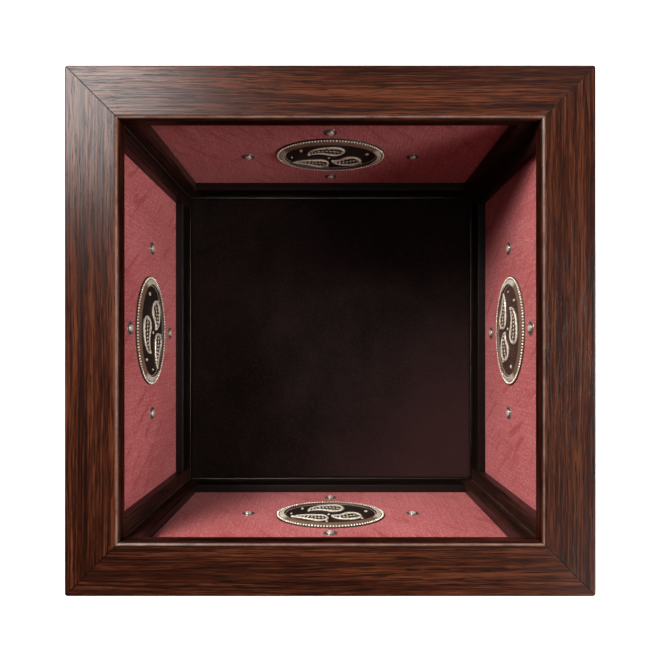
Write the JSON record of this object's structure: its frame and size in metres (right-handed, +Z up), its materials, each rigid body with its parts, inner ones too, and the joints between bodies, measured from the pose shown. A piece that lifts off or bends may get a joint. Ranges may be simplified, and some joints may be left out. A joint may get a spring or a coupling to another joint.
{
  "type": "offering plate",
  "caption": "Square, deep wooden offering plate with a wide flat mitred rim, silk-panelled inner walls, oval cast medallions and a velvet-covered floor.",
  "frame": {"origin": "on the surface that the plate rests on, under the plate's centre", "axes": "+Z up, +X to the right side, +Y to the back"},
  "size_m": [0.3, 0.3, 0.15],
  "materials": {
    "rim_wood": "satin lacquer, dark reddish-brown",
    "wall_wood": "satin lacquer, dark reddish-brown",
    "frame_wood": "satin lacquer, very dark brown",
    "spline_wood": "bare",
    "base_wood": "bare plywood",
    "lining_card": "bare",
    "floor_card": "bare",
    "silk": "soft sheen, dusty rose",
    "velvet": "short pile, dark aubergine",
    "felt": "pressed felt, dark",
    "medallion_metal": "antiqued casting, pale raised parts and dark field",
    "nail_metal": "antiqued nickel plate",
    "screw_brass": "bright"
  },
  "bodies": {
    "root": {"rim_front": "rim_wood", "rim_right": "rim_wood", "rim_back": "rim_wood", "rim_left": "rim_wood", "rim_splines": "spline_wood", "wall_front": "wall_wood", "wall_right": "wall_wood", "wall_back": "wall_wood", "wall_left": "wall_wood", "wall_splines": "spline_wood", "lining_board_front": "lining_card", "lining_board_right": "lining_card", "lining_board_back": "lining_card", "lining_board_left": "lining_card", "silk_panel_front": "silk", "silk_panel_right": "silk", "silk_panel_back": "silk", "silk_panel_left": "silk", "bottom_rail_front": "frame_wood", "stile_front_left": "frame_wood", "stile_front_right": "frame_wood", "bottom_rail_right": "frame_wood", "stile_right_front": "frame_wood", "stile_right_back": "frame_wood", "bottom_rail_back": "frame_wood", "stile_back_right": "frame_wood", "stile_back_left": "frame_wood", "bottom_rail_left": "frame_wood", "stile_left_back": "frame_wood", "stile_left_front": "frame_wood", "medallion_front": "medallion_metal", "medallion_right": "medallion_metal", "medallion_back": "medallion_metal", "medallion_left": "medallion_metal", "dome_nails_front": "nail_metal", "dome_nails_right": "nail_metal", "dome_nails_back": "nail_metal", "dome_nails_left": "nail_metal", "base_board": "base_wood", "base_screws": "screw_brass", "base_felt": "felt", "floor_board": "floor_card", "velvet_pad": "velvet"}
  },
  "joints": []
}
